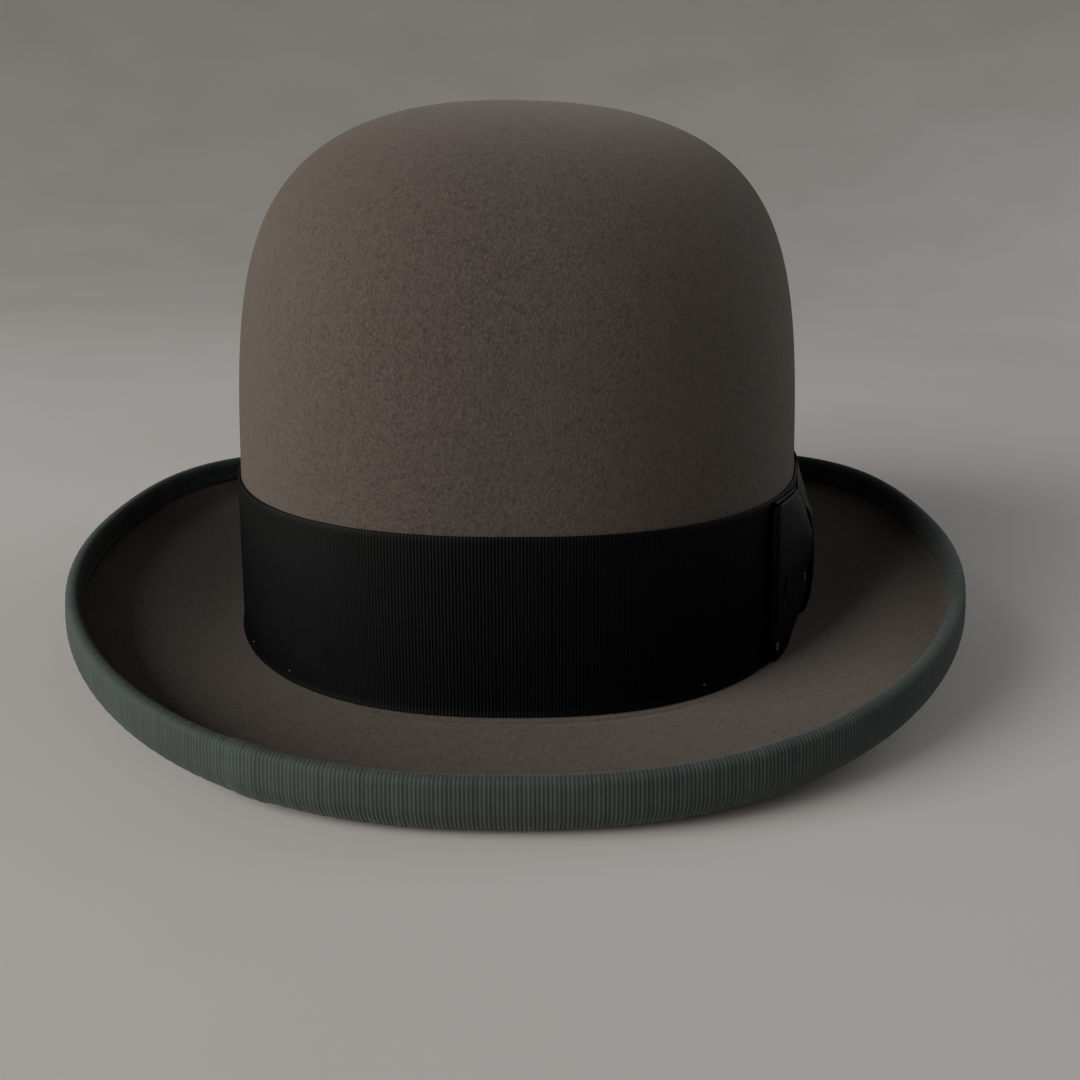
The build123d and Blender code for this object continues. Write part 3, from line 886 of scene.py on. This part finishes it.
def sweat_stitches(count=150, length=2.6):
    """The row that holds the leather to the felt, in the groove above its roll."""
    z = SWEAT_Z + 3.0
    inside = -(sweat_inset(z) + LEATHER) + 0.05
    ends = []
    for step in range(count):
        start, finish, out = wall_stitch(360 * (step + 0.5) / count, z, inside, length)
        ends.append((start, finish, tuple(-v for v in out)))
    return ends


def edge_stitches(count=200, length=2.2):
    """The row along the binding's inner leg, part way up the rim."""
    radius, rise = FELT_INNER - BINDING - 0.3, 0.9
    brim_radius = 142.0  # on average, to the rim
    half_turn = length / brim_radius / 2
    ends = []
    for step in range(count):
        phi = 2 * math.pi * (step + 0.5) / count
        inward = on_rim(phi, radius - 1.0, rise) - on_rim(phi, radius, rise)
        ends.append((on_rim(phi - half_turn, radius, rise),
                     on_rim(phi + half_turn, radius, rise), inward))
    return ends


make_sweatband()
put(make_threads("sweatband_thread", sweat_stitches(), 0.25, tan_thread),
    "sweatband_stitches")
put(make_threads("binding_thread_row", edge_stitches(), 0.18, edge_thread),
    "binding_stitches")


def make_reed():
    """The bead along the sweatband's lower edge."""
    cols, ring, radius = 240, 8, 0.62
    phi = np.linspace(0, 2 * np.pi, cols, endpoint=False)
    rows = []
    for j in range(ring):
        a = 2 * math.pi * j / ring
        rows.append(on_wall(phi, SWEAT_Z + 0.65 + radius * math.sin(a),
                            -3.35 + radius * math.cos(a)))
    return closed_tube("sweatband_reed_bead", settle(np.array(rows)), reed_stuff)


put(make_reed(), "sweatband_reed")


def make_tape():
    """Tape behind the leather's butt joint."""
    phi = np.radians(np.linspace(90 + 3.4, 90 - 3.4, 15))
    rows = []
    for z in np.linspace(SWEAT_Z + 6, SWEAT_TOP - 2, 20):
        rows.append(on_wall(phi, z, -(sweat_inset(z) - 0.62)))
    front = settle(np.array(rows))
    tape = slab("sweatband_tape", front, 0.3, tape_stuff, None, facing(front, (5, 7)))
    put(tape, "sweatband_seam_tape")


make_tape()


# --- small bow inside, at the rear -------------------------------------------
def make_small_bow():
    """Two flat loops and a wrap over their middle."""
    low, high = node_box("sweatband_bow")
    centre, depth = (low + high) / 2, high[1] - low[1]
    half, steps = (high[0] - low[0]) / 2, 34
    across = np.linspace(-1, 1, 13)
    points, faces, uvs = [], [], []

    def add_sheet(rows, uv_rows, thickness):
        front = np.array(rows)
        normal = surface_normals(front, wrap_cols=False)
        more_points, more_faces = sheet_parts(front, normal, thickness)
        faces.extend([f + len(points) for f in more_faces])
        points.extend(more_points)
        uvs.extend(list(np.array(uv_rows).reshape(-1, 2)) * 2)

    for side in (-1, 1):
        rows, uv_rows = [], []
        for step in range(2 * steps):
            share = step / steps if step < steps else (2 * steps - 1 - step) / steps
            layer = 1 if step < steps else -1
            x = side * (1.2 + (half - 1.6) * share)
            tall = 1.5 + 1.9 * (1 - math.exp(-share * 2.6))
            puff = depth * (0.16 + 0.34 * math.sin(math.pi * min(1, share * 0.8 + 0.2)))
            pleat = 0.18 * np.cos(across * 7) * math.exp(-share * 4)
            y = centre[1] - layer * puff + pleat
            rows.append(np.stack([x + 0 * across, y + 0 * across,
                                  centre[2] + across * tall], -1))
            uv_rows.append(np.stack([0 * across + step * 0.4 * MM, across * tall * MM], -1))
        add_sheet(rows, uv_rows, 0.12 * side)
    rows, uv_rows = [], []
    for step in range(20):
        turn = math.pi * (step + 0.5) / 20
        z = centre[2] - 2.3 * math.cos(turn)
        y = centre[1] - depth * 0.5 * math.sin(turn) ** 0.5
        x = across * 1.9
        rows.append(np.stack([x, y + 0.12 * np.cos(across * 8), z + 0 * x], -1))
        uv_rows.append(np.stack([x * MM, 0 * x + step * 0.3 * MM], -1))
    add_sheet(rows, uv_rows, 0.12)
    bow = make_piece("sweatband_small_bow", settle(np.array(points)), faces,
                     small_bow_stuff, np.array(uvs))
    put(bow, "sweatband_bow")


make_small_bow()


# --- lining ------------------------------------------------------------------
LINING_SEAM_Z = tip_low[2]
LINING_INSET = 2.8  # outside of the lining, in from the crown's outside


def make_lining_side():
    """Satin round the inside of the crown, gathered towards its seam with the tip."""
    cols = 720
    phi = np.linspace(0, 2 * np.pi, cols, endpoint=False)
    gathers = np.abs(np.sin(phi * 44)) + 0.5 * np.abs(np.sin(phi * 27 + 1))
    rows, uv_rows = [], []
    bottom = SWEAT_TOP - 6.0
    heights = np.linspace(bottom, LINING_SEAM_Z, 40)
    for z in heights:
        share = (z - bottom) / (LINING_SEAM_Z - bottom)
        fold = gathers * 0.75 * max(0.0, (share - 0.35) / 0.65) ** 1.6
        drape = 0.35 * np.sin(phi * 5 + share * 3)
        inset = LINING_INSET + 0.5 + 0.4 * np.abs(drape) + fold + 1.6 * share**6
        rows.append(on_wall(phi, z, -inset))
        uv_rows.append(np.stack([phi * 0.09, 0 * phi + z * MM], -1))
    for z in heights[::-1]:
        share = (z - bottom) / (LINING_SEAM_Z - bottom)
        rows.append(on_wall(phi, z, -(LINING_INSET + 0.2 + 1.3 * share**6)))
        uv_rows.append(np.stack([phi * 0.09, 0 * phi + z * MM], -1))
    side = closed_tube("lining_satin_side", settle(np.array(rows)), satin_stuff,
                       np.array(uv_rows))
    put(side, "lining_side")


def dome_rows(phi, first_z, drop, count, inset):
    """Rows of a shallow dome that follows the crown's inside, up to near its tip."""
    first_turn = 18.0
    rows = []
    for turn in np.linspace(first_turn, 88.5, count):
        z = dome_height(turn)
        if z < first_z:
            continue
        share = (z - first_z) / (BREAK_Z + CROWN_HEIGHT - first_z)
        scale = crown_scale(z)
        inner = (CROWN_W * scale - inset, CROWN_L * scale - inset)
        if min(inner) <= 1.0:
            break
        radius = oval_radius(phi, *inner)
        height = z - drop * share**0.5 - 0.6
        rows.append(np.stack([radius * np.cos(phi), radius * np.sin(phi),
                              height + 0 * phi], -1))
    return rows


def cap(name, rows, thickness, top_drop, material):
    """Closed cap from rows that shrink towards a tip."""
    cols = rows[0].shape[0]
    front = np.array(rows)
    tip = np.array([[0, 0, front[-1, :, 2].mean() + top_drop]])
    back = front + np.array([0, 0, thickness])
    back_tip = tip + np.array([0, 0, thickness])
    grid = np.concatenate([front[::-1], back])
    points = np.concatenate([grid.reshape(-1, 3), tip, back_tip])
    return make_piece(name, settle(points), capped_faces(len(grid), cols), material)


make_lining_side()
tip_phi = np.linspace(0, 2 * np.pi, 240, endpoint=False)
tip_rows = dome_rows(tip_phi, LINING_SEAM_Z - 1.0, 2.6, 60, LINING_INSET + 1.6)
lining_tip = put(cap("lining_satin_tip", tip_rows, 0.35, 0.05, satin_stuff),
                 "lining_tip")


def make_shield():
    """Clear film over the lining's tip, a shallow oval dome that falls away towards its
    edge.
    """
    low, high = node_box("tip_shield")
    half_width, half_length = high[0], high[1]
    phi = np.linspace(0, 2 * np.pi, 160, endpoint=False)
    rows = []
    for share in np.concatenate([[1.0, 0.985], np.linspace(0.95, 0.04, 24)]):
        x = half_width * share * np.cos(phi)
        y = half_length * share * np.sin(phi)
        spread = np.hypot(x / CROWN_W, y / CROWN_L)
        z = high[2] - 3.6 - 16.0 * spread**3.2
        rows.append(np.stack([x, y, z], -1))
    return cap("tip_shield_film", rows, 0.3, 0.0, film_stuff)


shield = put(make_shield(), "tip_shield")


# --- floor, lights and camera ------------------------------------------------
def make_floor():
    """A wide plain floor that curves up far away on all sides, into a wall."""
    cols = 96
    phi = np.linspace(0, 2 * np.pi, cols, endpoint=False)
    flat, bend, height = 1100.0, 2000.0, 2900.0  # radius of each, and the wall's top
    path = [(r, 0.0) for r in (300.0, 700.0, flat)]
    path += [(flat + bend * math.sin(a), bend * (1 - math.cos(a)))
             for a in np.radians(np.linspace(10, 90, 9))]
    path.append((flat + bend, height))
    rows = [np.stack([r * np.cos(phi), r * np.sin(phi), 0 * phi + z - 0.1], -1)
            for r, z in path]
    grid = np.array(rows)
    faces = [list(f) for f in grid_faces(len(rows), cols, False, True)]
    faces.append(list(range(cols))[::-1])
    paint = Paint("pale_floor", (0.50, 0.485, 0.46), 0.85)
    cloud = paint.noise(paint.coords(), 6.0, 3.0, 0.5)
    paint.color(paint.blend(paint.curve(cloud, 0.3, 0.7), (0.48, 0.465, 0.44),
                            (0.52, 0.505, 0.48)))
    floor = make_piece("floor", grid, faces, paint.material)


def area_light(name, place, target, size, power, color):
    """A rectangular lamp that faces its target."""
    data = bpy.data.lights.new(name, "AREA")
    data.shape = "RECTANGLE"
    data.size, data.size_y = size
    data.energy = power
    data.color = color
    lamp = bpy.data.objects.new(name, data)
    lamp.location = place
    lamp.rotation_mode = "QUATERNION"
    direction = Vector(target) - Vector(place)
    lamp.rotation_quaternion = direction.to_track_quat("-Z", "Y")
    bpy.context.scene.collection.objects.link(lamp)


make_floor()
area_light("window", (-1.40, -0.78, 0.82), (0, 0, 0.06), (1.3, 1.1), 38.0,
           (1.0, 0.965, 0.92))
area_light("front_fill", (0.9, -1.6, 1.2), (0, 0, 0.06), (1.4, 1.2), 1.8, (1.0, 0.98, 0.96))
area_light("right_fill", (1.7, 0.75, 1.0), (0, 0, 0.08), (1.4, 1.2), 11.0, (0.98, 0.98, 1.0))

world = bpy.data.worlds.new("studio")
world.use_nodes = True
world.node_tree.nodes["Background"].inputs["Color"].default_value = (0.9, 0.92, 0.95, 1)
world.node_tree.nodes["Background"].inputs["Strength"].default_value = 0.16
bpy.context.scene.world = world

CAMERA_AT = (0.0071, -0.3465, 0.1307)
CAMERA_DOWN = 17.91  # degrees below level
CAMERA_RIGHT = -0.08  # degrees towards +X
CAMERA_LENS = 36.03
camera_data = bpy.data.cameras.new("camera")
camera_data.lens = CAMERA_LENS
camera_data.sensor_width = 36.0
camera_data.clip_start = 0.01
camera = bpy.data.objects.new("camera", camera_data)
camera.location = CAMERA_AT
camera.rotation_euler = (math.radians(90 - CAMERA_DOWN), 0, math.radians(-CAMERA_RIGHT))
bpy.context.scene.collection.objects.link(camera)
bpy.context.scene.camera = camera
